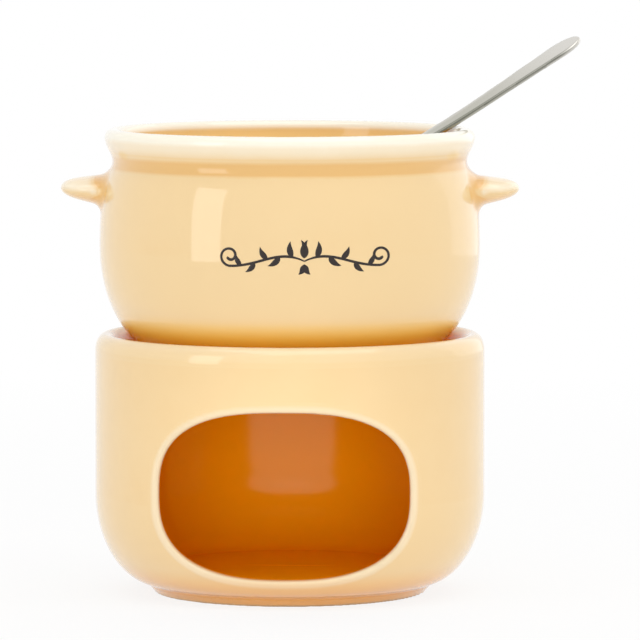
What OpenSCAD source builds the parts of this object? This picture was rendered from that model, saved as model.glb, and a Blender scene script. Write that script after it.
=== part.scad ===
// Fondue mug for one: a glazed pot with two lugs, the burner stand that it sits in, and a dipping fork.
// Millimetres, +Z up. The origin is on the table, at the centre of the stand's foot ring.
// The window of the stand faces -Y, and the lugs of the pot point along X.

/* [Pot] */
// Diameter of the pot at its widest, the belly
belly_d = 107.2; // [98:0.2:118]
// Height of the belly's widest line above the pot's foot
belly_h = 31; // [28:0.5:36]
// Height of the pot from its foot to the crest of its lip
pot_h = 64.2; // [62:0.2:76]
// Thickness of the pot's wall
pot_wall = 4.2; // [3:0.1:5]
// Thickness of the pot's floor, above the recess in its foot
pot_floor = 4.5; // [3.5:0.1:6]
// Diameter where the underside of the belly becomes flat
pot_base_d = 69.6; // [60:0.2:74]
// Outer diameter of the pot's foot ring
pot_foot_d = 77; // [75:0.2:84]
// Width of the pot's foot ring
pot_foot_w = 4; // [3:0.2:6]
// Height of the pot's foot ring
pot_foot_h = 1.2; // [0.8:0.1:2.5]
// Diameter of the floor that is flat inside the pot
pot_floor_d = 56; // [44:1:60]

/* [Neck and lip] */
// Diameter of the neck, the waist under the lip
neck_d = 99.9; // [94:0.2:104]
// Height of the neck below the crest of the lip
neck_drop = 9.2; // [8:0.1:12]
// Diameter of the lip at its outermost line
lip_d = 104.3; // [102:0.1:110]
// Height of the lip's outermost line below its crest
lip_drop = 2.2; // [1.6:0.1:3.6]
// Width of the lip from outside to inside
lip_w = 4.8; // [4.2:0.1:6.4]

/* [Lugs] */
// How far a lug reaches out from the belly
lug_reach = 11; // [8:0.2:16]
// Height of a lug at its root
lug_root_h = 8.4; // [6:0.2:11]
// Height of a lug near its tip
lug_tip_h = 4.6; // [2.6:0.2:6]
// Width of a lug at its root
lug_root_w = 21; // [16:0.5:28]
// Height of a lug's middle above the pot's foot
lug_h = 46.8; // [43:0.2:48]
// How much higher the tip of a lug is than its root
lug_rise = 0.7; // [0:0.1:2]
// Swell of the slip that joins a lug to the wall
lug_fillet = 1.1; // [0.4:0.1:1.8]

/* [Stand] */
// Height of the stand from the table to the crest of its rim
stand_h = 73.2; // [70:0.5:90]
// Thickness of the stand's wall below the seat
stand_wall = 4.8; // [4:0.1:6]
// Thickness of the stand's floor, above the recess in its foot
stand_floor = 4.8; // [4:0.1:6]
// Width of the rim above the seat, from outside to inside
rim_w = 6.3; // [5:0.1:8]
// Height of the rounded edge of the rim
rim_round_h = 4.6; // [2.5:0.1:5]
// Outer diameter of the foot ring, where it leaves the bowl
foot_d = 80.6; // [76:0.2:86]
// Width of the foot ring, where it leaves the bowl
foot_w = 6.2; // [5:0.1:8]
// How far the outside of the foot ring draws in, down to the table
foot_taper = 2.2; // [0.4:0.1:3]
// Height of the foot ring
foot_h = 2.4; // [1.5:0.1:3]
// Height above the table at which the bowl's curve becomes the upright wall
bowl_h = 28; // [24:0.5:32]
// Width of the bowl's curve, from the upright wall inwards
bowl_w = 17; // [16:0.5:20]
// Width of the curve between the wall and the floor, inside
hollow_w = 15; // [13:0.5:20]

/* [Seat] */
// Depth of the seat below the crest of the rim
seat_depth = 6.7; // [6:0.1:9]
// Thickness of the seat's ring at its inner edge
seat_t = 5.4; // [4.5:0.1:7]
// How far the seat reaches in past the pot's foot ring
seat_inset = 1.2; // [0.6:0.1:3]
// Height of the curve that joins the seat's ring to the wall, underneath
seat_cove_h = 6.5; // [5:0.1:8]
// Gap between the pot and the inside of the rim
recess_gap = 3; // [2:0.1:6]
// Gap between the pot's foot and the seat
seat_gap = 0.1; // [0.05:0.05:0.4]

/* [Window] */
// Width of the window in the stand
window_w = 69.2; // [50:0.2:74]
// Height of the window in the stand
window_h = 46.8; // [36:0.2:48]
// Height of the window's lower edge above the stand's floor
window_sill = 1.2; // [0.8:0.1:2]
// Squareness of the window: 2 is an ellipse, and higher is squarer
window_power = 2.65; // [2.2:0.1:3.4]
// Radius of the window's rounded outer edge
window_round = 2; // [1:0.1:2.6]

/* [Fork] */
// Length of the fork
fork_len = 146.5; // [140:1:170]
// Direction in which the fork leans, seen from above, in degrees from +X
fork_turn = 19; // [0:1:40]
// Roll of the fork about its own length, in degrees
fork_roll = 7; // [0:1:12]
// Where the tines stand in the curve between the pot's floor and wall, in degrees from the bottom
fork_stand_angle = 29; // [15:1:35]
// Gap between the fork and the pot
fork_gap = 0.4; // [0.3:0.05:0.8]
// Width of the handle at its widest
handle_w = 10; // [8:0.2:13]
// Width of the neck between the handle and the head
shank_w = 5; // [4:0.1:7]
// Thickness of the neck, the thickest place
shank_t = 2.4; // [1.8:0.1:3]
// Width of the head over its tines
head_w = 15.4; // [13:0.2:18]
// Length of the tines
tine_len = 30; // [22:0.5:36]
// Width of the gap between two tines
tine_gap = 2.7; // [2:0.1:3.2]
// How far the head bows below the line from the tips to the rim
head_bow = 3; // [1.5:0.1:4]

/* [Hidden] */
$fn = 96;
// What a cut reaches past the faces that it cuts
over = 1;
// Number of tines
tines = 3;
// Steps along one curve of an outline
steps = 14;

// Pot, measured up from its foot
belly_r = belly_d / 2;
pot_base_r = pot_base_d / 2;
pot_foot_r = pot_foot_d / 2;
pot_floor_r = pot_floor_d / 2;
pot_floor_h = pot_foot_h + pot_floor;
neck_r = neck_d / 2;
neck_h = pot_h - neck_drop;
lip_r = lip_d / 2;
lip_h = pot_h - lip_drop;
// Where the shoulder's two handles lie, as shares of the height from the belly to the neck
shoulder_share = 0.88;
neck_share = 0.12;
// Where the handles of the curve under the lip lie, as shares of the height from the neck to the lip
collar_shares = [0.36, 0.44];

// Half-width of the pot's foot recess, and the stand's ring that carries it
seat_r = pot_foot_r - pot_foot_w - seat_inset;
seat_h = stand_h - seat_depth;
pot_place = seat_h + seat_gap;
// The widest that the pot is below the crest of the rim sets the inside of the rim
recess_r = pot_radius(seat_depth - seat_gap) + recess_gap;
stand_r = recess_r + rim_w;
wall_in_r = stand_r - stand_wall;
foot_r = foot_d / 2;
floor_h = foot_h + stand_floor;
bowl_r = stand_r - bowl_w;
// Where the seat's ring leaves its flat underside for the cove, as a share of its width
seat_cove_share = 0.6;

window_low = floor_h + window_sill;

// Radius of the pot's outside at a height between its foot and its belly
function pot_radius(h) =
    pot_base_r + (belly_r - pot_base_r) * sqrt(1 - pow((belly_h - h) / (belly_h - pot_foot_h), 2));

// Points along an ellipse about c with the half-axes a and b, from one angle to another
function arc(c, a, b, from, to) =
    [for (i = [0 : steps]) let (t = from + (to - from) * i / steps) [c[0] + a * cos(t), c[1] + b * sin(t)]];

// Points along a cubic curve with the four control points p, without its first point
function curve(p) =
    [for (i = [1 : steps]) let (t = i / steps, s = 1 - t)
        s * s * s * p[0] + 3 * s * s * t * p[1] + 3 * s * t * t * p[2] + t * t * t * p[3]];

// The shoulder, from the belly's radius up to the neck's radius
function shoulder(belly, neck) =
    let (rise = neck_h - belly_h)
    curve([[belly, belly_h], [belly, belly_h + shoulder_share * rise],
        [neck, neck_h - neck_share * rise], [neck, neck_h]]);

// The collar, from the neck's radius out to the lip's
function collar(neck, lip) =
    let (rise = lip_h - neck_h)
    curve([[neck, neck_h], [neck, neck_h + collar_shares[0] * rise],
        [lip, lip_h - collar_shares[1] * rise], [lip, lip_h]]);

function reverse(p) = [for (i = [len(p) - 1 : -1 : 0]) p[i]];

// The pot's outside from the edge of its foot to the outermost line of its lip
pot_outside = concat(
    arc([pot_base_r, belly_h], belly_r - pot_base_r, belly_h - pot_foot_h,
        -acos((pot_foot_r - pot_base_r) / (belly_r - pot_base_r)), 0),
    shoulder(belly_r, neck_r),
    collar(neck_r, lip_r));

// The pot's inside from the inner line of its lip down to its floor
pot_inside = concat(
    reverse(collar(neck_r - pot_wall, lip_r - lip_w)),
    reverse(shoulder(belly_r - pot_wall, neck_r - pot_wall)),
    arc([pot_floor_r, belly_h], belly_r - pot_wall - pot_floor_r, belly_h - pot_floor_h, 0, -90));

module pot_profile() {
    foot_in = pot_foot_r - pot_foot_w;
    polygon(concat(
        [[0, pot_foot_h], [foot_in, pot_foot_h], [foot_in, 0], [pot_foot_r, 0]],
        pot_outside,
        arc([lip_r - lip_w / 2, lip_h], lip_w / 2, lip_drop, 0, 180),
        pot_inside,
        [[0, pot_floor_h]]));
}

module pot_body() {
    color([0.97, 0.84, 0.62])
    translate([0, 0, pot_place])
    rotate_extrude() pot_profile();
}

// The pot's outside, filled, so that a lug's root takes its shape
module pot_filled() {
    rotate_extrude()
    polygon(concat([[0, 0], [pot_foot_r, 0]], pot_outside, [[0, lip_h]]));
}

// A solid through rings of points that all have the same number of points
module loft(rings) {
    n = len(rings[0]);
    last = len(rings) - 1;
    points = [for (ring = rings) each ring];
    sides = [for (i = [0 : last - 1]) for (j = [0 : n - 1]) let (k = (j + 1) % n)
        each [[i * n + j, (i + 1) * n + j, (i + 1) * n + k], [i * n + j, (i + 1) * n + k, i * n + k]]];
    first_cap = [for (j = [0 : n - 1]) j];
    last_cap = [for (j = [n - 1 : -1 : 0]) last * n + j];
    polyhedron(points, concat([first_cap, last_cap], sides));
}

// One lug along +X: a flattened horn that tapers, rounds off at its tip and swells where it meets the wall
lug_sides = 24;
lug_rings = 12;
// How fast the swell at the root dies away, and how blunt the tip is in height and in width
lug_fade = 7;
lug_tip_power = 7;
lug_plan_power = 2.4;
// Where the lug's end is flat, as a share of its reach
lug_end_share = 0.998;
module lug() {
    root = belly_r - pot_wall / 2;
    wall = pot_radius(belly_h);
    reach = lug_reach + pot_wall / 2;
    rings = [for (i = [0 : lug_rings]) let (
        s = lug_end_share * sin(90 * i / lug_rings),
        x = root + reach * s,
        out = max(0, (x - wall) / lug_reach),
        swell = lug_fillet * exp(-lug_fade * out),
        half_h = (lug_root_h * (1 - out) + lug_tip_h * out) / 2 * sqrt(1 - pow(s, lug_tip_power)) + swell,
        half_w = lug_root_w / 2 * sqrt(1 - pow(s, lug_plan_power)) + swell,
        middle = lug_h + lug_rise * out)
        [for (j = [0 : lug_sides - 1]) let (a = 360 * j / lug_sides)
            [x, half_w * cos(a), middle + half_h * sin(a)]]];
    color([0.97, 0.84, 0.62])
    translate([0, 0, pot_place])
    difference() {
        loft(rings);
        pot_filled();
    }
}

module right_lug() lug();
module left_lug() rotate([0, 0, 180]) lug();

// The stand's wall, rim, seat, floor and foot as one outline
module stand_profile() {
    rim_mid = (recess_r + stand_r) / 2;
    rim_h = stand_h - rim_round_h;
    seat_under = seat_h - seat_t;
    cove_r = seat_r + seat_cove_share * (wall_in_r - seat_r);
    polygon(concat(
        [[0, foot_h], [foot_r - foot_w, foot_h], [foot_r - foot_w, 0], [foot_r - foot_taper, 0]],
        arc([bowl_r, bowl_h], bowl_w, bowl_h - foot_h, -acos((foot_r - bowl_r) / bowl_w), 0),
        arc([rim_mid, rim_h], rim_w / 2, rim_round_h, 0, 180),
        [[recess_r, seat_h], [seat_r + seat_t / 2, seat_h]],
        arc([seat_r + seat_t / 2, seat_h - seat_t / 2], seat_t / 2, seat_t / 2, 90, 270),
        arc([cove_r, seat_under - seat_cove_h], wall_in_r - cove_r, seat_cove_h, 90, 0),
        arc([wall_in_r - hollow_w, bowl_h], hollow_w, bowl_h - floor_h, 0, -90),
        [[0, floor_h]]));
}

// Radius of the stand's outside at a height above its foot ring
function stand_radius(h) =
    bowl_r + bowl_w * sqrt(1 - pow(max(0, bowl_h - h) / (bowl_h - foot_h), 2));

// The window's outline, grown by an amount all round, as points in the plane that faces it
window_steps = 56;
function bend(v) = sign(v) * pow(abs(v), 2 / window_power);
function window_outline(grown) =
    [for (i = [0 : window_steps - 1]) let (t = 360 * i / window_steps)
        [(window_w / 2 + grown) * bend(cos(t)),
            window_low + window_h / 2 + (window_h / 2 + grown) * bend(sin(t))]];

// The window's cut: it runs straight in from the wall, and its outer edge rounds over and follows the wall
round_steps = 3;
// Where the rounded edge meets the wall's outside, in degrees from flush with it
round_angle = 20;
module window_cut() {
    angles = [for (i = [0 : round_steps]) 90 - (90 - round_angle) * i / round_steps];
    flared = window_round * (1 - sin(round_angle)) + over / tan(round_angle);
    rounded = [for (a = angles)
        [for (p = window_outline(window_round * (1 - sin(a))))
            [p[0], window_round * (1 - cos(a)) - sqrt(pow(stand_radius(p[1]), 2) - pow(p[0], 2)), p[1]]]];
    loft(concat(
        [[for (p = window_outline(0)) [p[0], 0, p[1]]]],
        rounded,
        [[for (p = window_outline(flared)) [p[0], -stand_r - over, p[1]]]]));
}

module burner_stand() {
    color([0.97, 0.84, 0.62])
    difference() {
        rotate_extrude() stand_profile();
        window_cut();
    }
}

// The fork, drawn along +X from the tips of its tines, with the line from the tips to the rim at height 0
// Places along the fork, as shares of its length, with the height of its underside, as shares of the bow
bow_shares = [[0, 0], [0.05, -0.62], [0.12, -1], [0.2, -0.7], [0.3, 0.1], [0.42, 0.5], [0.55, 0.3], [0.7, 0],
    [0.85, -0.1], [1, -0.2]];
// Places along the fork, with its thickness, as shares of the neck's
thick_shares = [[0, 0.4], [0.12, 0.66], [0.22, 0.85], [0.33, 1], [0.5, 0.85], [0.75, 0.56], [1, 0.56]];
// Places along the handle, with its width: 0 is the neck's and 1 is the handle's widest
handle_shares = [[0.36, 0], [0.45, 0.08], [0.6, 0.24], [0.75, 0.46], [0.87, 0.78], [0.95, 1]];

// A smooth curve through a table of [place, value] rows, read at one place
function slope(t, i) =
    let (a = max(i - 1, 0), b = min(i + 1, len(t) - 1)) (t[b][1] - t[a][1]) / (t[b][0] - t[a][0]);
function row_at(t, x, i = 0) = i >= len(t) - 2 || x < t[i + 1][0] ? i : row_at(t, x, i + 1);
function smooth(t, x) =
    let (i = row_at(t, x), w = t[i + 1][0] - t[i][0], s = (x - t[i][0]) / w)
    t[i][1] * (1 + 2 * s) * pow(1 - s, 2) + slope(t, i) * w * s * pow(1 - s, 2)
    + t[i + 1][1] * s * s * (3 - 2 * s) + slope(t, i + 1) * w * s * s * (s - 1);

fork_steps = 48;
function under(x) = head_bow * smooth(bow_shares, x / fork_len);
function thick(x) = shank_t * smooth(thick_shares, x / fork_len);
function handle_at(x) = shank_w + (handle_w - shank_w) * smooth(handle_shares, x / fork_len);
module fork_side() {
    places = [for (i = [0 : fork_steps]) fork_len * i / fork_steps];
    polygon(concat(
        [for (x = places) [x, under(x)]],
        reverse([for (x = places) [x, under(x) + thick(x)]])));
}

// Half of the fork's plan: the head, its sloping shoulders, the neck and the handle with its round end
head_round_share = 0.3;
function fork_plan_half() =
    let (
        neck_x = handle_shares[0][0] * fork_len,
        last = handle_shares[len(handle_shares) - 1],
        end_x = last[0] * fork_len,
        head_x = tine_len,
        tip_w = head_w / 2 - shank_t * thick_shares[0][1])
    concat(
        [[0, tip_w], [head_w * head_round_share / 2, head_w / 2], [head_x, head_w / 2]],
        curve([[head_x, head_w / 2], [head_x + (neck_x - head_x) / 2, head_w / 2],
            [head_x + (neck_x - head_x) / 2, shank_w / 2], [neck_x, shank_w / 2]]),
        [for (i = [1 : steps]) let (x = neck_x + (end_x - neck_x) * i / steps) [x, handle_at(x) / 2]],
        [for (i = [1 : steps]) let (t = 90 * i / steps)
            [end_x + (fork_len - end_x) * sin(t), handle_w / 2 * cos(t)]]);

module fork_plan() {
    half = fork_plan_half();
    pitch = (head_w + tine_gap) / tines;
    difference() {
        polygon(concat(half, reverse([for (p = half) [p[0], -p[1]]])));
        for (i = [1 : tines - 1])
            translate([0, (i - tines / 2) * pitch]) {
                translate([-over, -tine_gap / 2]) square([tine_len + over, tine_gap]);
                translate([tine_len, 0]) circle(tine_gap / 2);
            }
    }
}

// The fork's place: its tips stand in the corner of the pot, and its underside passes over the lip.
// The outer tine's corner is what comes nearest to the wall, and the roll lowers it.
lip_place = [lip_r - lip_w / 2, pot_place + lip_h];
corner_r = pot_floor_r + (belly_r - pot_wall - pot_floor_r - fork_gap) * sin(fork_stand_angle);
corner_h = belly_h - (belly_h - pot_floor_h - fork_gap) * cos(fork_stand_angle);
tip_place = [
    -sqrt(pow(corner_r, 2) - pow(head_w / 2, 2)),
    pot_place + corner_h + head_w / 2 * sin(fork_roll)];
fork_run = lip_place - tip_place;
// How far the lip reaches square to the fork, and how far the roll lowers one edge of the handle there
lean = atan2(fork_run[1], fork_run[0]);
lip_reach = norm([lip_w / 2 * sin(lean), lip_drop * cos(lean)]);
roll_drop = handle_at(norm(fork_run)) / 2 * sin(fork_roll);
fork_slope = lean + asin((lip_reach + fork_gap + roll_drop - under(norm(fork_run))) / norm(fork_run));
module dipping_fork() {
    color([0.72, 0.72, 0.69])
    rotate([0, 0, fork_turn])
    translate([tip_place[0], 0, tip_place[1]])
    rotate([0, -fork_slope, 0])
    rotate([fork_roll, 0, 0])
    intersection() {
        rotate([90, 0, 0]) linear_extrude(head_w + 2 * over, center = true) fork_side();
        translate([0, 0, -2 * head_bow]) linear_extrude(4 * head_bow + shank_t) fork_plan();
    }
}

burner_stand();
pot_body();
left_lug();
right_lug();
dipping_fork();
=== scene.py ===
import math
import bpy
import numpy as np
from mathutils import Matrix, Vector


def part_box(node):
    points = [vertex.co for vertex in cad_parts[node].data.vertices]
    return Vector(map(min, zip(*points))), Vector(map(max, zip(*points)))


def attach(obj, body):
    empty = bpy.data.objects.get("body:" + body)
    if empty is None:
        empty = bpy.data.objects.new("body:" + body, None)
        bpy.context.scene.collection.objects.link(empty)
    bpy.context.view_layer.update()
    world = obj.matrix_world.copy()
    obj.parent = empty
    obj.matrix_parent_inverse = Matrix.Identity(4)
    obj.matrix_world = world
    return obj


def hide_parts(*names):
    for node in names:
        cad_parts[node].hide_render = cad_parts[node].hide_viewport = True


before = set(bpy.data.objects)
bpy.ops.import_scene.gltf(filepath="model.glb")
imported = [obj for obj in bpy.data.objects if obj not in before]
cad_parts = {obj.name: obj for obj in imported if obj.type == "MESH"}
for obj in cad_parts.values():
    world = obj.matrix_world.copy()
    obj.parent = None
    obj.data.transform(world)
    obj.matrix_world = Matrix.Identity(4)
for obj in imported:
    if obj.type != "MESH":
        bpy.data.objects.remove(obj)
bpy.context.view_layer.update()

# Camera
# A long lens a step back from the table, a little above the pot's lip and a little to the right of the
# window's middle. The length seen across the picture at the stand's axis sets the lens.
CAMERA_AIM = Vector((0.0085, 0, 0.0767))
CAMERA_TURN, CAMERA_AWAY, CAMERA_H = math.radians(1.9), 1.7, 0.212
CAMERA_PLACE = Vector((CAMERA_AIM.x + CAMERA_AWAY * math.sin(CAMERA_TURN),
                       -CAMERA_AWAY * math.cos(CAMERA_TURN), CAMERA_H))
SEEN_WIDTH = 0.1805
camera = bpy.data.objects.new("camera", bpy.data.cameras.new("camera"))
camera.location = CAMERA_PLACE
camera.rotation_euler = (CAMERA_AIM - CAMERA_PLACE).to_track_quat("-Z", "Y").to_euler()
camera.data.lens = camera.data.sensor_width * (CAMERA_AIM - CAMERA_PLACE).length / SEEN_WIDTH
camera.data.clip_end = 20
bpy.context.scene.collection.objects.link(camera)
bpy.context.scene.camera = camera

# Burner stand
# A slip-cast bowl with an upright wall, a foot ring and an inner seat for the pot. Its wide window is
# cut while the clay is soft, and sponged round at its edges. It is glazed all over but for the foot
# ring. The glaze runs thin and pale over every edge, with a painted highlight there too, and painted
# shade turns it deep orange inside, round the seat and low on the outside, for light bounced and shut out
# there.
MM = 0.001


def arc(centre, half_w, half_h, start, end, steps=40):
    """Points of an ellipse's arc about a centre, between two angles in degrees."""
    t = np.radians(np.linspace(start, end, steps))
    return np.stack([centre[0] + half_w * np.cos(t), centre[1] + half_h * np.sin(t)], 1)


def curve(a, b, c, d, steps=40):
    """Points of a cubic curve with four control points."""
    a, b, c, d = (np.array(p, float) for p in (a, b, c, d))
    t = np.linspace(0, 1, steps)[:, None]
    return (1 - t) ** 3 * a + 3 * (1 - t) ** 2 * t * b + 3 * (1 - t) * t**2 * c + t**3 * d


def corner(before, point, after, radius, steps=8):
    """Points that round off one corner of an outline."""
    before, point, after = (np.array(p, float) for p in (before, point, after))
    to_before = (before - point) / np.linalg.norm(before - point)
    to_after = (after - point) / np.linalg.norm(after - point)
    half = math.acos(np.clip(to_before @ to_after, -1, 1)) / 2
    cut = radius / math.tan(half)
    t = np.linspace(0, 1, steps)[:, None]
    start, end = point + cut * to_before, point + cut * to_after
    return (1 - t) ** 2 * start + 2 * (1 - t) * t * point + t**2 * end


class Turned:
    """The signed distance from a solid turned round the Z axis, read from a table of its outline."""

    PITCH = 0.2 * MM
    MARGIN = 6 * MM

    def __init__(self, outline):
        points = np.concatenate([outline, outline[::-1] * [-1, 1]])
        self.low = np.array([0, outline[:, 1].min() - self.MARGIN])
        high = outline.max(0) + self.MARGIN
        r, z = (np.arange(lo, hi, self.PITCH) for lo, hi in zip(self.low, high))
        r, z = np.meshgrid(r, z, indexing="ij")
        nearest = np.full(r.shape, np.inf)
        inside = np.zeros(r.shape, bool)
        for (ar, az), (br, bz) in zip(points, np.roll(points, -1, 0)):
            along_r, along_z = br - ar, bz - az
            length = along_r**2 + along_z**2
            if length == 0:
                continue
            t = np.clip(((r - ar) * along_r + (z - az) * along_z) / length, 0, 1)
            nearest = np.minimum(nearest, (r - ar - t * along_r) ** 2 + (z - az - t * along_z) ** 2)
            if along_z:
                inside ^= ((az > z) != (bz > z)) & (r < ar + (z - az) / along_z * along_r)
        self.table = np.where(inside, -1, 1) * np.sqrt(nearest)

    def __call__(self, p):
        """The distance at points in space."""
        return self.flat(np.hypot(p[..., 0], p[..., 1]), p[..., 2])

    def flat(self, across, along):
        """The distance in the plane of the outline."""
        place = (np.stack([across, along], -1) - self.low) / self.PITCH
        place = np.clip(place, 0, np.array(self.table.shape) - 1.001)
        i, j = np.moveaxis(place.astype(int), -1, 0)
        u, v = np.moveaxis(place % 1, -1, 0)
        t = self.table
        near, far = (t[i, k] * (1 - u) + t[i + 1, k] * u for k in (j, j + 1))
        return near * (1 - v) + far * v


def probe(distance, p, step=0.4 * MM):
    """The field's value, its slope and how fast it spreads at points, from six neighbours of each."""
    value = distance(p)
    slope, spread = np.empty_like(p), -6 * value
    for axis in range(3):
        shift = np.zeros(3)
        shift[axis] = step
        ahead, behind = distance(p + shift), distance(p - shift)
        slope[..., axis] = (ahead - behind) / (2 * step)
        spread += ahead + behind
    return value, slope, spread / step**2


EDGE_STEP, PULLS = 1.1 * MM, 4


def skin(name, distance, low, high, cell):
    """A quad mesh on a solid's surface, with one corner in each cell that the surface crosses.

    Every corner is pulled onto the surface. The mesh comes with its corners and with a number for each,
    which is above 0 where the surface bulges out and below 0 in a hollow.
    """
    axes = [np.arange(lo, hi + cell, cell) for lo, hi in zip(low, high)]
    field = distance(np.stack(np.meshgrid(*axes, indexing="ij"), -1))
    cells = tuple(n - 1 for n in field.shape)
    total, count, edges = np.zeros(cells + (3,)), np.zeros(cells), []
    for axis in range(3):
        a = np.moveaxis(np.moveaxis(field, axis, 0)[:-1], 0, axis)
        b = np.moveaxis(np.moveaxis(field, axis, 0)[1:], 0, axis)
        at = np.argwhere((a < 0) != (b < 0))
        key = tuple(at.T)
        place = at.astype(float)
        place[:, axis] += a[key] / (a[key] - b[key])
        one, two = np.eye(3, dtype=int)[[(axis + 1) % 3, (axis + 2) % 3]]
        around = np.stack([at - one - two, at - two, at, at - one], 1)
        around[a[key] >= 0] = around[a[key] >= 0][:, ::-1]
        edges.append(around)
        for k in range(4):
            np.add.at(total, tuple(around[:, k].T), place)
            np.add.at(count, tuple(around[:, k].T), 1)
    used = count > 0
    number = np.full(cells, -1)
    number[used] = np.arange(used.sum())
    corners = np.array(low) + cell * total[used] / count[used][:, None]
    quads = number[tuple(np.moveaxis(np.concatenate(edges), -1, 0))]
    for _ in range(PULLS):
        value, slope, _ = probe(distance, corners)
        pull = np.clip(value, -cell, cell) / (np.linalg.norm(slope, axis=1) + 1e-9)
        corners -= pull[:, None] * slope
    _, slope, _ = probe(distance, corners)
    _, _, spread = probe(distance, corners, EDGE_STEP)
    mesh = bpy.data.meshes.new(name)
    mesh.from_pydata(corners.tolist(), [], quads.tolist())
    mesh.shade_smooth()
    normals = slope / np.linalg.norm(slope, axis=1)[:, None]
    mesh.normals_split_custom_set_from_vertices(normals.tolist())
    piece = bpy.data.objects.new(name, mesh)
    bpy.context.scene.collection.objects.link(piece)
    return piece, corners, spread * MM


def paint(piece, name, values):
    """Keeps one number for each corner of a mesh, for its material to read."""
    layer = piece.data.attributes.new(name, "FLOAT", "POINT")
    layer.data.foreach_set("value", np.asarray(values, np.float32))


def ramp(value, start, end):
    """0 before start, 1 after end and smooth between them."""
    t = np.clip((value - start) / (end - start), 0, 1)
    return t * t * (3 - 2 * t)


def blend_out(a, b, radius):
    """The distance from what two solids share, with the edge between them rounded."""
    past_a, past_b = np.maximum(radius + a, 0), np.maximum(radius + b, 0)
    return np.minimum(np.maximum(a, b), -radius) + np.hypot(past_a, past_b)


stand_low, stand_high = (np.array(c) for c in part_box("burner_stand"))
STAND_R = 54.95 * MM
STAND_H = stand_high[2]
STAND_WALL = 4.8 * MM
STAND_BORE = STAND_R - STAND_WALL
RIM_W, RIM_H = 6.3 * MM, 4.6 * MM
FOOT_R, FOOT_W, FOOT_H, FOOT_TAPER = 40.3 * MM, 6.2 * MM, 2.4 * MM, 2.2 * MM
FLOOR_H = 7.2 * MM
BOWL_H, BOWL_W, HOLLOW_W = 28 * MM, 17 * MM, 15 * MM
SEAT_R, SEAT_H, SEAT_T = 33.3 * MM, STAND_H - 6.7 * MM, 5.4 * MM
COVE_H, COVE_R = 6.5 * MM, 43.4 * MM
bowl_r, rim_in, rim_mid = STAND_R - BOWL_W, STAND_R - RIM_W, STAND_R - RIM_W / 2
under_seat = SEAT_H - SEAT_T
foot_angle = -math.degrees(math.acos((FOOT_R - bowl_r) / BOWL_W))
bowl = arc((bowl_r, BOWL_H), BOWL_W, BOWL_H - FOOT_H, foot_angle, 0, 90)
foot_in, foot_edge = FOOT_R - FOOT_W, FOOT_R - FOOT_TAPER
CORNER_R, FINE_CORNER_R = 1.0 * MM, 0.6 * MM
# The rounding at the foot takes up the bowl's points before this one.
past_foot = 8
stand_outline = np.concatenate([
    [[0, FOOT_H]],
    corner((0, FOOT_H), (foot_in, FOOT_H), (foot_in, 0), FINE_CORNER_R),
    corner((foot_in, FOOT_H), (foot_in, 0), (foot_edge, 0), FINE_CORNER_R),
    corner((foot_in, 0), (foot_edge, 0), bowl[0], CORNER_R),
    corner((foot_edge, 0), bowl[0], bowl[past_foot], CORNER_R)[:-1],
    bowl[past_foot:],
    arc((rim_mid, STAND_H - RIM_H), RIM_W / 2, RIM_H, 0, 180, 60),
    corner((rim_in, STAND_H - RIM_H), (rim_in, SEAT_H), (SEAT_R, SEAT_H), CORNER_R),
    arc((SEAT_R + SEAT_T / 2, SEAT_H - SEAT_T / 2), SEAT_T / 2, SEAT_T / 2, 90, 270),
    arc((COVE_R, under_seat - COVE_H), STAND_BORE - COVE_R, COVE_H, 90, 0),
    arc((STAND_BORE - HOLLOW_W, BOWL_H), HOLLOW_W, BOWL_H - FLOOR_H, 0, -90),
    [[0, FLOOR_H]],
])
stand_turned = Turned(stand_outline)

WINDOW_W, WINDOW_H, WINDOW_LOW, WINDOW_POWER = 69.2 * MM, 46.8 * MM, 8.4 * MM, 2.65
WINDOW_ROUND = 2.1 * MM


def window_distance(p):
    """The distance from the window's outline in the plane that faces it, negative inside the window."""
    x = np.abs(p[..., 0]) / (WINDOW_W / 2)
    z = np.abs(p[..., 2] - WINDOW_LOW - WINDOW_H / 2) / (WINDOW_H / 2)
    size = (x**WINDOW_POWER + z**WINDOW_POWER) ** (1 / WINDOW_POWER) + 1e-6
    power = WINDOW_POWER - 1
    slope = np.hypot(x**power / (WINDOW_W / 2), z**power / (WINDOW_H / 2)) / size**power
    return (size - 1) / slope


def stand_distance(p):
    """The distance from the turned stand with the window cut through its front wall."""
    away = np.where(p[..., 1] < 0, window_distance(p), 1)
    return blend_out(stand_turned(p), -away, WINDOW_ROUND)


def bowl_radius(height, base_r, side_r, top, foot):
    """The outer radius of a bowl's rounded underside, and of the upright wall above it, at heights."""
    below = np.clip((top - height) / (top - foot), 0, 1)
    return base_r + (side_r - base_r) * np.sqrt(1 - below**2)


def painted_shade_share(depth, height, wall, rim, floor, low, inside_share, low_share):
    """How much painted shading a vessel's glaze gets, at depths behind its outer face and heights above
    its foot.

    The painted shading, for light bounced round inside and shut out low down, changes through the wall,
    below the rim, at the floor and low on the outside. Each of these is given by where the change starts
    and ends, and the two shares by how strong it gets.
    """
    inside = ramp(depth, *wall) * (1 - ramp(height, *rim)) * ramp(height, *floor)
    return np.maximum(inside_share * inside, low_share * (1 - ramp(height, *low)))


STAND_CELL, SPARE = 1.0 * MM, 3 * MM
stand, corners, edge = skin("stand", stand_distance, stand_low - SPARE, stand_high + SPARE, STAND_CELL)
radius, height = np.hypot(corners[:, 0], corners[:, 1]), corners[:, 2]
paint(stand, "edge", edge)
# Painted shade: the glaze is painted deep orange inside the stand and round the seat, for light bounced
# round there, and orange low on the outside, where the table's shadow falls.
paint(stand, "painted_inner_shade", painted_shade_share(
    bowl_radius(height, bowl_r, STAND_R, BOWL_H, FOOT_H) - radius, height,
    wall=(1.2 * MM, STAND_WALL), rim=(STAND_H - 2.6 * MM, STAND_H - 0.4 * MM),
    floor=(FOOT_H + 1 * MM, FLOOR_H - 1 * MM), low=(3 * MM, 11 * MM), inside_share=1, low_share=0.5))
paint(stand, "bare", 1 - ramp(height, 0.3 * MM, 0.7 * MM))


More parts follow.
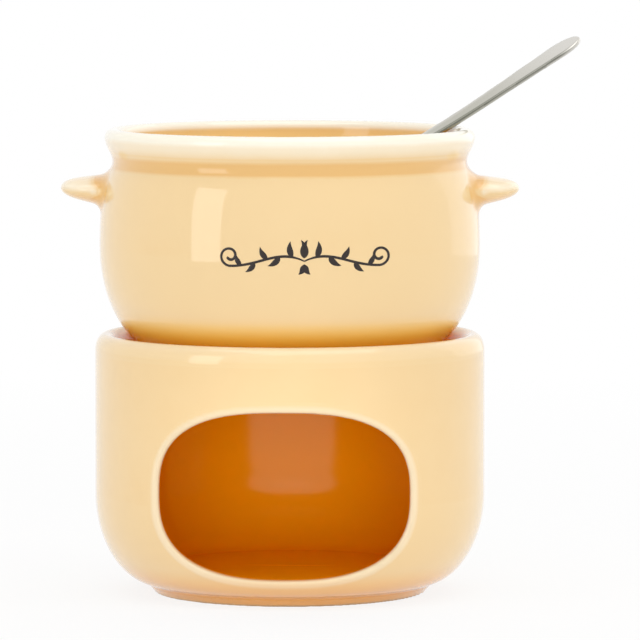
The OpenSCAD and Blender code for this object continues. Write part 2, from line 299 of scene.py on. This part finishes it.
class Wire:
    """The output of a shader node. Sums and products of wires add Math nodes to the same material."""

    def __init__(self, tree, socket=None):
        self.tree, self.socket = tree, socket

    def node(self, kind, inputs, output=0, **settings):
        """A new node's output. Its settings are set first, then its inputs get their values or links."""
        made = self.tree.nodes.new(kind)
        for key, value in settings.items():
            setattr(made, key, value)
        for key, value in inputs.items():
            if isinstance(value, Wire):
                self.tree.links.new(value.socket, made.inputs[key])
            else:
                made.inputs[key].default_value = value
        return Wire(self.tree, made.outputs[output])

    def math(self, operation, *values):
        """The result of a Math node on values or wires."""
        return self.node("ShaderNodeMath", dict(enumerate(values)), operation=operation)

    def __add__(self, other):
        return self.math("ADD", self, other)

    def __radd__(self, other):
        return self.math("ADD", other, self)

    def __sub__(self, other):
        return self.math("SUBTRACT", self, other)

    def __rsub__(self, other):
        return self.math("SUBTRACT", other, self)

    def __mul__(self, other):
        return self.math("MULTIPLY", self, other)

    def __rmul__(self, other):
        return self.math("MULTIPLY", other, self)

    def clipped(self, low, high):
        """0 up to low, 1 from high on."""
        return self.node("ShaderNodeMapRange", {"Value": self, "From Min": low, "From Max": high})

    def between(self, first, second):
        """A mix of two colours by this wire."""
        inputs = {"Factor": self, "A": first, "B": second}
        return self.node("ShaderNodeMix", inputs, "Result", data_type="RGBA")


def colour(red, green, blue):
    """A colour given as a screen shows it, as the light that it stands for."""
    shown = (c / 255 for c in (red, green, blue))
    return tuple(c / 12.92 if c < 0.04045 else ((c + 0.055) / 1.055) ** 2.4 for c in shown) + (1,)


def material(name):
    """A new material, with a wire to build its nodes from and its shader."""
    made = bpy.data.materials.new(name)
    made.use_nodes = True
    shader = made.node_tree.nodes["Principled BSDF"]
    return made, Wire(made.node_tree), shader


def join(wire, shader, name):
    """Links a wire to one of the shader's inputs."""
    wire.tree.links.new(wire.socket, shader.inputs[name])


GLAZE, GLAZE_THIN_AND_HIGHLIGHT, GLAZE_POOLED_AND_SHADE = colour(244, 212, 157), colour(255, 248, 229), colour(238, 190, 116)
STAND_SHADED_GLAZE, CLAY = colour(255, 170, 5), colour(226, 190, 140)
MOTTLE_SCALE, WAVE_SCALE, PEEL_SCALE = 55, 60, 900
THIN_AND_HIGHLIGHT_FROM, THIN_AND_HIGHLIGHT_TO, THIN_AND_HIGHLIGHT_MOTTLE = 0.12, 0.5, 0.12
POOLED_AND_SHADE_FROM, POOLED_AND_SHADE_TO, POOLED_AND_SHADE_MOTTLE = -0.03, 0.13, 0.06
GLAZE_ROUGH, CLAY_ROUGH, COAT_WEIGHT, COAT_ROUGH, GLAZE_IOR = 0.07, 0.6, 0.5, 0.02, 1.5
WAVE_DEPTH, PEEL_SHARE, WAVE_STRENGTH = 0.6 * MM, 0.03, 0.12


def glaze(name, shaded_inside, pale, inside_rough):
    """Butter-coloured gloss glaze: paler over ridges, where it runs thinner and carries a painted
    highlight, with painted shading in hollows, where it also pools, and a strong orange painted inside and
    low down for the light bounced round there. Its shine is faintly wavy.

    It is given by its painted colour for the inside, how pale its ridges get and how much rougher it is
    inside.
    """
    made, wire, shader = material(name)
    place = wire.node("ShaderNodeTexCoord", {}, "Object")
    edge = wire.node("ShaderNodeAttribute", {}, "Fac", attribute_name="edge")
    painted_inner_shade = wire.node("ShaderNodeAttribute", {}, "Fac", attribute_name="painted_inner_shade")
    bare = wire.node("ShaderNodeAttribute", {}, "Fac", attribute_name="bare")
    mottle = wire.node("ShaderNodeTexNoise", {"Vector": place, "Scale": MOTTLE_SCALE, "Detail": 3}, "Fac")
    wave = wire.node("ShaderNodeTexNoise", {"Vector": place, "Scale": WAVE_SCALE, "Detail": 1}, "Fac")
    peel = wire.node("ShaderNodeTexNoise", {"Vector": place, "Scale": PEEL_SCALE, "Detail": 2}, "Fac")
    # Paler over ridges where the glaze runs thin, and partly a painted highlight there.
    thin_and_highlight = (edge + (mottle - 0.5) * THIN_AND_HIGHLIGHT_MOTTLE).clipped(THIN_AND_HIGHLIGHT_FROM, THIN_AND_HIGHLIGHT_TO)
    # Darker in hollows: partly glaze that pools there, partly painted shade in the creases.
    pooled_and_shade = ((mottle - 0.5) * POOLED_AND_SHADE_MOTTLE - edge).clipped(POOLED_AND_SHADE_FROM, POOLED_AND_SHADE_TO)
    body = pooled_and_shade.between(GLAZE, GLAZE_POOLED_AND_SHADE)
    # Painted shade: deep orange inside and low down, for bounced light and shadow.
    body = painted_inner_shade.between(body, shaded_inside)
    body = (thin_and_highlight * (1 - painted_inner_shade) * pale).between(body, GLAZE_THIN_AND_HIGHLIGHT)
    body = bare.between(body, CLAY)
    join(body, shader, "Base Color")
    join(bare * CLAY_ROUGH + painted_inner_shade * inside_rough + GLAZE_ROUGH, shader, "Roughness")
    join((1 - bare) * (1 - painted_inner_shade) * COAT_WEIGHT, shader, "Coat Weight")
    shader.inputs["Coat Roughness"].default_value = COAT_ROUGH
    shader.inputs["IOR"].default_value = GLAZE_IOR
    relief = {"Height": wave + peel * PEEL_SHARE, "Strength": WAVE_STRENGTH, "Distance": WAVE_DEPTH}
    join(wire.node("ShaderNodeBump", relief), shader, "Normal")
    return made


stand.data.materials.append(glaze("stand_glaze", STAND_SHADED_GLAZE, pale=0.35, inside_rough=0.06))
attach(stand, "stand")
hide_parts("burner_stand")

# Fondue pot
# A round-bellied cast pot with a foot ring, a waisted neck and a rolled lip. Its two lugs are pressed on
# while the clay is damp, and slip fills the join all round. It is glazed like the stand.
pot_low, pot_high = (np.array(c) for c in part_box("pot_body"))
POT_BASE = pot_low[2]
POT_H = pot_high[2] - POT_BASE
BELLY_R, BELLY_H, POT_WALL = 53.6 * MM, 31 * MM, 4.2 * MM
BASE_R, POT_FOOT_R, POT_FOOT_W, POT_FOOT_H = 34.8 * MM, 38.5 * MM, 4 * MM, 1.2 * MM
POT_FLOOR_R, POT_FLOOR_H, POT_CORNER_R = 28 * MM, 5.7 * MM, 0.3 * MM
NECK_R, NECK_H = 49.95 * MM, POT_H - 9.2 * MM
LIP_R, LIP_H, LIP_W = 52.15 * MM, POT_H - 2.2 * MM, 4.8 * MM
SHOULDER_PULLS, COLLAR_PULLS = (0.88, 0.12), (0.36, 0.44)


def swell(low_r, low, high_r, high, low_pull, high_pull, steps):
    """Points of a curve that is upright at both ends. Each pull is a share of the height between them."""
    rise = high - low
    return curve((low_r, low), (low_r, low + low_pull * rise), (high_r, high - high_pull * rise),
                 (high_r, high), steps)


def shoulder(belly, neck):
    """The wall's line from the belly's height to the neck's, between two radii."""
    return swell(belly, BELLY_H, neck, NECK_H, *SHOULDER_PULLS, 80)


def collar(neck, lip):
    """The wall's line from the neck's height to the lip's, between two radii."""
    return swell(neck, NECK_H, lip, LIP_H, *COLLAR_PULLS, 30)


pot_foot_in = POT_FOOT_R - POT_FOOT_W
belly = arc((BASE_R, BELLY_H), BELLY_R - BASE_R, BELLY_H - POT_FOOT_H,
            -math.degrees(math.acos((POT_FOOT_R - BASE_R) / (BELLY_R - BASE_R))), 0, 110)
pot_outline = np.concatenate([
    [[0, POT_FOOT_H]],
    corner((0, POT_FOOT_H), (pot_foot_in, POT_FOOT_H), (pot_foot_in, 0), POT_CORNER_R),
    corner((pot_foot_in, POT_FOOT_H), (pot_foot_in, 0), (POT_FOOT_R, 0), POT_CORNER_R),
    corner((pot_foot_in, 0), (POT_FOOT_R, 0), belly[0], POT_CORNER_R),
    belly[1:],
    shoulder(BELLY_R, NECK_R)[1:],
    collar(NECK_R, LIP_R)[1:],
    arc((LIP_R - LIP_W / 2, LIP_H), LIP_W / 2, POT_H - LIP_H, 0, 180, 60)[1:],
    collar(NECK_R - POT_WALL, LIP_R - LIP_W)[::-1][1:],
    shoulder(BELLY_R - POT_WALL, NECK_R - POT_WALL)[::-1][1:],
    arc((POT_FLOOR_R, BELLY_H), BELLY_R - POT_WALL - POT_FLOOR_R, BELLY_H - POT_FLOOR_H, 0, -90, 90)[1:],
    [[0, POT_FLOOR_H]],
]) + [0, POT_BASE]
pot_turned = Turned(pot_outline)
outside = np.concatenate([belly, shoulder(BELLY_R, NECK_R)[1:]]) + [0, POT_BASE]

LUG_REACH, LUG_W, LUG_ROOT_H, LUG_TIP_H = 11 * MM, 21 * MM, 8.6 * MM, 4.6 * MM
LUG_H, LUG_RISE, LUG_FILLET = POT_BASE + 46.8 * MM, 0.7 * MM, 2.4 * MM
LUG_TIP_POWER, LUG_PLAN_POWER, PAST_TIP = 7, 2.4, 1.2


def lug_form(p):
    """Below 0 inside a flattened horn that tapers away from the wall on both sides of the pot."""
    out = np.abs(p[..., 0]) - BELLY_R
    share = np.clip((out + POT_WALL / 2) / (LUG_REACH + POT_WALL / 2), 0, PAST_TIP) + 1e-6
    out = np.clip(out / LUG_REACH, 0, PAST_TIP)
    half_h = (LUG_ROOT_H * (1 - out) + LUG_TIP_H * out) / 2
    rise = (p[..., 2] - LUG_H - LUG_RISE * out) / half_h
    end = 1 - share**LUG_TIP_POWER
    return rise**2 + (p[..., 1] / (LUG_W / 2)) ** 2 * end / (1 - share**LUG_PLAN_POWER) - end


def pot_distance(p):
    """The distance from the turned pot and its lugs, with a fillet of slip where they meet the wall."""
    body = pot_turned(p)
    wall_middle = np.interp(p[..., 2], outside[:, 1], outside[:, 0]) - POT_WALL / 2
    near = (np.abs(p[..., 0]) > 0.8 * BELLY_R) & (np.hypot(p[..., 0], p[..., 1]) > wall_middle)
    q = p[near]
    step, value = 0.1 * MM, lug_form(q)
    slope = np.sqrt(sum(((lug_form(q + s) - value) / step) ** 2 for s in np.eye(3) * step)) + 1e-6
    lug = value / slope
    wall = body[near]
    mixed = np.maximum(LUG_FILLET, np.minimum(wall, lug)) - np.hypot(
        np.maximum(LUG_FILLET - wall, 0), np.maximum(LUG_FILLET - lug, 0))
    body[near] = mixed
    return body


POT_CELL = 0.87 * MM
COLLAR_REFLECTION, LUG_TOP_LIGHT, LUG_EDGE_CUT = 0.17, 0.34, 0.75
POT_SHADED_GLAZE = colour(255, 199, 20)
lug_room = np.array([LUG_REACH + SPARE, SPARE, SPARE])
pot, corners, edge = skin("pot", pot_distance, pot_low - lug_room, pot_high + lug_room, POT_CELL)
radius, height = np.hypot(corners[:, 0], corners[:, 1]), corners[:, 2] - POT_BASE
underside = bowl_radius(height, BASE_R, BELLY_R, BELLY_H, POT_FOOT_H)
flare = (LIP_R - NECK_R) * ramp(height, NECK_H, LIP_H)
# Painted shade: orange inside the pot and low on its belly, where it sits in the stand's shade.
paint(pot, "painted_inner_shade", painted_shade_share(
    np.where(height > BELLY_H, NECK_R + flare, underside) - radius, height,
    wall=(2 * MM, POT_WALL), rim=(POT_H - 2.4 * MM, POT_H - 0.7 * MM),
    floor=(POT_FOOT_H + 1 * MM, POT_FLOOR_H - 1 * MM), low=(6 * MM, 15 * MM),
    inside_share=0.4, low_share=0.85))
paint(pot, "bare", 1 - ramp(height, 0.2 * MM, 0.5 * MM))
# Painted reflection and light: the collar is made paler for the white table it mirrors, and the lugs' tops
# lighter where the light falls on them, both through the edge number.
edge += COLLAR_REFLECTION * ramp(height, NECK_H, NECK_H + 4 * MM)
on_lug = ramp(np.abs(corners[:, 0]), BELLY_R, BELLY_R + 3 * MM)
lit_lug_top = ramp(corners[:, 2], LUG_H - 1 * MM, LUG_H + 2 * MM)
edge += on_lug * (LUG_TOP_LIGHT * lit_lug_top - LUG_EDGE_CUT * edge)
paint(pot, "edge", edge)
pot.data.materials.append(glaze("pot_glaze", POT_SHADED_GLAZE, pale=1, inside_rough=0))
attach(pot, "pot")
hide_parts("pot_body", "left_lug", "right_lug")

# Printed sprig
# A small sprig of scrolls and leaves on the pot's front, the same to the left and right. It is printed
# in dark brown enamel over the glaze and fired again, so it stands a hair proud and shines a little less.
SPRIG_X, SPRIG_Z, SPRIG_W, ENAMEL_T = 6 * MM, 97 * MM, 46.5 * MM, 0.09 * MM
STEM_W, LEAF_LEN, LEAF_W = 0.8 * MM, 4.6 * MM, 1.9 * MM
SCROLL_R, SCROLL_EYE, SCROLL_TURNS = 2.8 * MM, 0.7 * MM, 1.2
LEAF_PLACES, LEAF_LEAN, LEN_LOSS, W_LOSS = (0.16, 0.34, 0.52, 0.7, 0.88), 0.9, 0.3, 0.25
LEAF_BEND, LEAF_POWER, LEAF_LEAST_W = 0.5, 0.75, 0.05 * MM
TAPER_PLACES, TAPER_SHARES = (0, 0.1, 0.6, 0.97, 1), (0.5, 1, 0.9, 1.1, 0.1)
ENAMEL_DARK, ENAMEL_PALE = colour(26, 17, 13), colour(44, 31, 24)
ENAMEL_ROUGH, SPECK_ROUGH, SPECK_SCALE = 0.22, 0.12, 700
sprig_points, sprig_faces = [], []


def stroke(middle, width):
    """A stroke on both halves of the sprig: a low ridge along a line, with its edges in the glaze."""
    along = np.gradient(middle, axis=0)
    across = np.stack([-along[:, 1], along[:, 0]], 1) / (np.hypot(*along.T)[:, None] + 1e-9)
    for side in (-1, 1):
        first = len(sprig_points)
        for share, lift in ((-1, -0.5), (-0.75, 1), (0.75, 1), (1, -0.5)):
            row = middle + across * (width * share / 2)[:, None]
            x, z = SPRIG_X + side * row[:, 0], SPRIG_Z + row[:, 1]
            radius = np.interp(z, outside[:, 1], outside[:, 0]) + lift * ENAMEL_T
            sprig_points.extend(np.stack([x, -np.sqrt(radius**2 - x**2), z], 1).tolist())
        for row in range(3):
            for i in range(len(middle) - 1):
                a = first + row * len(middle) + i
                b = a + len(middle)
                sprig_faces.append((a, b, b + 1, a + 1) if side < 0 else (a, a + 1, b + 1, b))


def leaf(root, heading, length, width):
    """A pointed leaf that bends a little, from its root along a heading in radians."""
    t = np.linspace(0, 1, 20)
    turn = heading + LEAF_BEND * (t - 0.3)
    middle = root + length * np.stack([t * np.cos(turn), t * np.sin(turn)], 1)
    stroke(middle, width * np.sin(math.pi * t**LEAF_POWER) + LEAF_LEAST_W)


reach = SPRIG_W / 2 - SCROLL_R
stem = curve((0, 0), (0.35 * reach, 1.3 * SCROLL_R), (0.6 * reach, -0.5 * SCROLL_R),
             (reach, -0.5 * SCROLL_R), 60)
wind = np.linspace(0, 2 * math.pi * SCROLL_TURNS, 70)
wind_r = SCROLL_R + (SCROLL_EYE - SCROLL_R) * wind / wind[-1]
scroll_middle = np.array((reach, 0.5 * SCROLL_R))
scroll = scroll_middle + wind_r[:, None] * np.stack([np.sin(wind), -np.cos(wind)], 1)
line = np.concatenate([stem, scroll[1:]])
taper = np.linspace(0, 1, len(line))
stroke(line, STEM_W * np.interp(taper, TAPER_PLACES, TAPER_SHARES))
for k, place in enumerate(LEAF_PLACES):
    i = int(place * (len(stem) - 1))
    run = stem[i + 1] - stem[i]
    side = 1 if k % 2 == 0 else -1
    heading = math.atan2(run[1], run[0]) + side * LEAF_LEAN
    leaf(stem[i], heading, LEAF_LEN * (1 - LEN_LOSS * place), LEAF_W * (1 - W_LOSS * place))
leaf(np.array((0, 0.3 * SCROLL_R)), math.radians(80), 1.1 * LEAF_LEN, LEAF_W)
leaf(np.array((0, -0.3 * SCROLL_R)), math.radians(-80), 0.7 * LEAF_LEN, LEAF_W)

sprig_mesh = bpy.data.meshes.new("sprig")
sprig_mesh.from_pydata(sprig_points, [], sprig_faces)
sprig_mesh.shade_smooth()
sprig = bpy.data.objects.new("sprig", sprig_mesh)
bpy.context.scene.collection.objects.link(sprig)
enamel, wire, shader = material("brown_enamel")
place = wire.node("ShaderNodeTexCoord", {}, "Object")
density = wire.node("ShaderNodeTexNoise", {"Vector": place, "Scale": SPECK_SCALE, "Detail": 2}, "Fac")
join(density.between(ENAMEL_DARK, ENAMEL_PALE), shader, "Base Color")
join(ENAMEL_ROUGH + density * SPECK_ROUGH, shader, "Roughness")
sprig_mesh.materials.append(enamel)
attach(sprig, "pot")

# Dipping fork
# One stamped and forged piece of stainless steel: three tines that bow under, a narrow neck, and a flat
# handle that widens to a round end. It is polished along its length, so its shine spreads across it.
# A painted shade darkens its near edge, and a painted highlight lightens its far edge and round end.
FORK_LEN, HEAD_W, TINE_LEN, TINE_GAP = 146.5 * MM, 15.4 * MM, 30 * MM, 2.7 * MM
SHANK_W, HANDLE_W, SHANK_T, HEAD_BOW = 5 * MM, 10 * MM, 2.4 * MM, 3 * MM
FORK_TIP = Vector((-37.4, 0, 76.76)) * MM
FORK_TURN, FORK_SLOPE, FORK_ROLL = math.radians(19), math.radians(32.46), math.radians(7)
BOW_SHARES = ((0, 0), (0.05, -0.62), (0.12, -1), (0.2, -0.7), (0.3, 0.1), (0.42, 0.5), (0.55, 0.3),
              (0.7, 0), (0.85, -0.1), (1, -0.2))
THICK_SHARES = ((0, 0.4), (0.12, 0.66), (0.22, 0.85), (0.33, 1), (0.5, 0.85), (0.75, 0.56), (1, 0.56))
HANDLE_SHARES = ((0.36, 0), (0.45, 0.08), (0.6, 0.24), (0.75, 0.46), (0.87, 0.78), (0.95, 1))
TINE_ROUND, EDGE_ROUND = 0.36, 0.4
FORK_CELL, FORK_SPARE = 0.5 * MM, 1 * MM
STEEL_DULL, STEEL, STEEL_HIGHLIGHT = colour(174, 172, 158), colour(186, 184, 172), colour(212, 209, 202)
STEEL_SHADE, SHADE_SHARE = colour(96, 97, 88), 0.85
STEEL_ROUGH, GRAIN_ROUGH, GRAIN_STRENGTH, GRAIN_DEPTH = 0.2, 0.12, 0.05, 0.1 * MM
GRAIN_SCALE, CLOUD_SCALE = (60, 4000, 4000), 90


def smooth(shares, x):
    """A smooth curve through places and values, read at lengths along the fork."""
    place, value = np.array(shares).T
    slope = np.gradient(value, place)
    i = np.clip(np.searchsorted(place, x / FORK_LEN) - 1, 0, len(place) - 2)
    width = place[i + 1] - place[i]
    s = np.clip((x / FORK_LEN - place[i]) / width, 0, 1)
    return (value[i] * (1 + 2 * s) * (1 - s) ** 2 + slope[i] * width * s * (1 - s) ** 2
            + value[i + 1] * s * s * (3 - 2 * s) + slope[i + 1] * width * s * s * (s - 1))


neck_x, end_x = HANDLE_SHARES[0][0] * FORK_LEN, HANDLE_SHARES[-1][0] * FORK_LEN
tine_w = (HEAD_W - 2 * TINE_GAP) / 3
tine_round = TINE_ROUND * tine_w
half_head, half_neck, middle_x = HEAD_W / 2, SHANK_W / 2, (TINE_LEN + neck_x) / 2
handle_x = np.linspace(neck_x, end_x, 40)
gap_in, gap_out = tine_w / 2, tine_w / 2 + TINE_GAP
plan = np.concatenate([
    [[0, 0]],
    corner((0, 0), (gap_in, 0), (gap_in, TINE_LEN), tine_round),
    arc((tine_w / 2 + TINE_GAP / 2, TINE_LEN), TINE_GAP / 2, TINE_GAP / 2, 180, 0, 20),
    corner((gap_out, TINE_LEN), (gap_out, 0), (half_head, 0), tine_round),
    corner((gap_out, 0), (half_head, 0), (half_head, TINE_LEN), tine_round),
    curve((half_head, TINE_LEN), (half_head, middle_x), (half_neck, middle_x), (half_neck, neck_x)),
    np.stack([half_neck + (HANDLE_W - SHANK_W) / 2 * smooth(HANDLE_SHARES, handle_x), handle_x], 1)[1:],
    arc((0, end_x), HANDLE_W / 2, FORK_LEN - end_x, 0, 90)[1:],
])
fork_plan = Turned(plan)


def fork_distance(p):
    """The distance from the fork along +X: its plan cut from a bowed strip, with its edges rounded."""
    x = np.clip(p[..., 0], 0, FORK_LEN)
    thick = SHANK_T * smooth(THICK_SHARES, x)
    middle = HEAD_BOW * smooth(BOW_SHARES, x) + thick / 2
    strip = np.abs(p[..., 2] - middle) - thick / 2
    return blend_out(fork_plan.flat(np.abs(p[..., 1]), p[..., 0]), strip, EDGE_ROUND * thick)


fork_low = np.array([0, -half_head, -1.3 * HEAD_BOW])
fork_high = np.array([FORK_LEN, half_head, HEAD_BOW + SHANK_T])
fork, corners, _ = skin("fork", fork_distance, fork_low - FORK_SPARE, fork_high + FORK_SPARE, FORK_CELL)
x, y, z = corners.T
up_share = (z - HEAD_BOW * smooth(BOW_SHARES, x)) / (SHANK_T * smooth(THICK_SHARES, x))
inset = -fork_plan.flat(np.abs(y), x)
# Painted shade: a dark band along the edge turned to the camera, for the dark room it mirrors; it stops
# short of the round end.
near_edge = (y < 0) * (1 - ramp(inset, 0.2 * MM, 1.3 * MM)) * ramp(up_share, 0.3, 0.65)
# Painted highlight: the far edge and the round end are made lighter.
far_edge = (y > 0) * (1 - ramp(inset, 0, 3 * MM))
paint(fork, "shade", near_edge * (1 - ramp(x / FORK_LEN, 0.93, 0.99)))
paint(fork, "painted_highlight", np.maximum(ramp(x / FORK_LEN, 0.7, 1), far_edge))
fork.matrix_world = (Matrix.Rotation(FORK_TURN, 4, "Z") @ Matrix.Translation(FORK_TIP)
                     @ Matrix.Rotation(-FORK_SLOPE, 4, "Y") @ Matrix.Rotation(FORK_ROLL, 4, "X"))
steel, wire, shader = material("fork_steel")
place = wire.node("ShaderNodeTexCoord", {}, "Object")
drawn = wire.node("ShaderNodeMapping", {"Vector": place, "Scale": GRAIN_SCALE}, "Vector")
grain = wire.node("ShaderNodeTexNoise", {"Vector": drawn, "Scale": 1, "Detail": 3}, "Fac")
cloud = wire.node("ShaderNodeTexNoise", {"Vector": place, "Scale": CLOUD_SCALE, "Detail": 2}, "Fac")
# The painted shade and the painted highlight are read back here.
shade = wire.node("ShaderNodeAttribute", {}, "Fac", attribute_name="shade")
painted_highlight = wire.node("ShaderNodeAttribute", {}, "Fac", attribute_name="painted_highlight")
satin_and_highlight = painted_highlight.between(cloud.between(STEEL_DULL, STEEL), STEEL_HIGHLIGHT)
join((shade * SHADE_SHARE).between(satin_and_highlight, STEEL_SHADE), shader, "Base Color")
join(STEEL_ROUGH + (grain - 0.5) * GRAIN_ROUGH, shader, "Roughness")
shader.inputs["Metallic"].default_value = 1
brushed = {"Height": grain, "Strength": GRAIN_STRENGTH, "Distance": GRAIN_DEPTH}
join(wire.node("ShaderNodeBump", brushed), shader, "Normal")
fork.data.materials.append(steel)
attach(fork, "fork")
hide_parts("dipping_fork")

# Studio
# A white table in a white room, with a tall soft box in front on the left, a wide one overhead and a
# pale panel on the right. Fill lamps all round don't show in the gloss. The table fades into the room's
# white from a hand's breadth beyond the object.
TABLE_R, TABLE_FADE, TABLE_WHITE, TABLE_ROUGH = 3, (0.25, 0.7), 0.93, 0.7
NEAR_WHITE, ROOM_LIGHT = 0.85, 0.6
table_mesh = bpy.data.meshes.new("table")
table_corners = [(x * TABLE_R, y * TABLE_R, 0) for x, y in ((-1, -1), (1, -1), (1, 1), (-1, 1))]
table_mesh.from_pydata(table_corners, [], [(0, 1, 2, 3)])
table = bpy.data.objects.new("table", table_mesh)
bpy.context.scene.collection.objects.link(table)
table_paint, wire, shader = material("table_white")
place = wire.node("ShaderNodeTexCoord", {}, "Object")
away = wire.node("ShaderNodeVectorMath", {0: place}, "Value", operation="LENGTH").clipped(*TABLE_FADE)
seen = wire.math("MAXIMUM", wire.node("ShaderNodeLightPath", {}, "Is Camera Ray"),
                 wire.node("ShaderNodeLightPath", {}, "Is Glossy Ray"))
shader.inputs["Base Color"].default_value = (TABLE_WHITE, TABLE_WHITE, TABLE_WHITE, 1)
shader.inputs["Roughness"].default_value = TABLE_ROUGH
room_white = wire.node("ShaderNodeEmission", {"Strength": 1.0}, "Emission")
whiteness = (away * (1 - NEAR_WHITE) + NEAR_WHITE) * seen
mixed = wire.node("ShaderNodeMixShader", {0: whiteness, 2: room_white}, "Shader")
wire.tree.links.new(shader.outputs["BSDF"], mixed.socket.node.inputs[1])
wire.tree.links.new(mixed.socket, wire.tree.nodes["Material Output"].inputs["Surface"])
table_mesh.materials.append(table_paint)


def soft_box(name, place, aim, width, height, brightness):
    """A rectangular lamp of so many times the room's white."""
    light = bpy.data.lights.new(name, "AREA")
    light.shape, light.size, light.size_y = "RECTANGLE", width, height
    light.energy = brightness * math.pi * width * height
    lamp = bpy.data.objects.new(name, light)
    lamp.location = place
    lamp.rotation_euler = (Vector(aim) - Vector(place)).to_track_quat("-Z", "Y").to_euler()
    bpy.context.scene.collection.objects.link(lamp)
    return lamp


BOX_AIM, FILL_AIM, FILL_W, FILL_H = (0, 0, 0.1), (0, 0, 0.06), 0.9, 0.4
BOXES = (("left_box", (-0.435, -0.40, 0.21), 0.2, 0.36, 1.6), ("top_box", (0.1, -0.2, 1.2), 1.2, 1.2, 1.1),
         ("right_panel", (0.68, 0.73, 0.4), 0.9, 0.9, 0.3))
FILLS = (("front_fill", (0.05, -2.1, 0.3), 4.6), ("right_fill", (1.5, -0.45, 0.5), 3),
         ("right_rear_fill", (0.9, 1.8, 0.6), 2.8), ("left_rear_fill", (-1.6, 1.2, 0.6), 2.4))
for name, place, width, height, brightness in BOXES:
    soft_box(name, place, BOX_AIM, width, height, brightness)
for name, place, brightness in FILLS:
    fill = soft_box(name, place, FILL_AIM, FILL_W, FILL_H, brightness)
    fill.visible_glossy = False

world = bpy.data.worlds.new("room")
bpy.context.scene.world = world
world.use_nodes = True
room = Wire(world.node_tree)
seen = room.node("ShaderNodeLightPath", {}, "Is Camera Ray")
mirrored = room.node("ShaderNodeLightPath", {}, "Is Glossy Ray")
strength = room.math("MAXIMUM", seen, mirrored) * (1 - ROOM_LIGHT) + ROOM_LIGHT
background = world.node_tree.nodes["Background"]
background.inputs["Color"].default_value = (1, 1, 1, 1)
join(strength, background, "Strength")
bpy.context.scene.view_settings.view_transform = "Standard"

# Burner lamp
# A lamp with a snoot stands beside the lens. Its narrow beam goes through the stand's window and lights
# the glaze inside, where little of the room's light reaches.
SNOOT_PLACE, SNOOT_AIM, SNOOT_R = Vector((0.03, -1.6, 0.13)), Vector((0, -0.05, 0.042)), 38 * MM
BEAM_BLEND, LAMP_R, BEAM_WATTS = 0.6, 20 * MM, 17
beam = bpy.data.lights.new("burner_lamp", "SPOT")
beam.spot_size = 2 * math.atan(SNOOT_R / (SNOOT_AIM - SNOOT_PLACE).length)
beam.spot_blend, beam.shadow_soft_size, beam.energy = BEAM_BLEND, LAMP_R, BEAM_WATTS
snoot = bpy.data.objects.new("burner_lamp", beam)
snoot.location = SNOOT_PLACE
snoot.rotation_euler = (SNOOT_AIM - SNOOT_PLACE).to_track_quat("-Z", "Y").to_euler()
snoot.visible_glossy = False
bpy.context.scene.collection.objects.link(snoot)
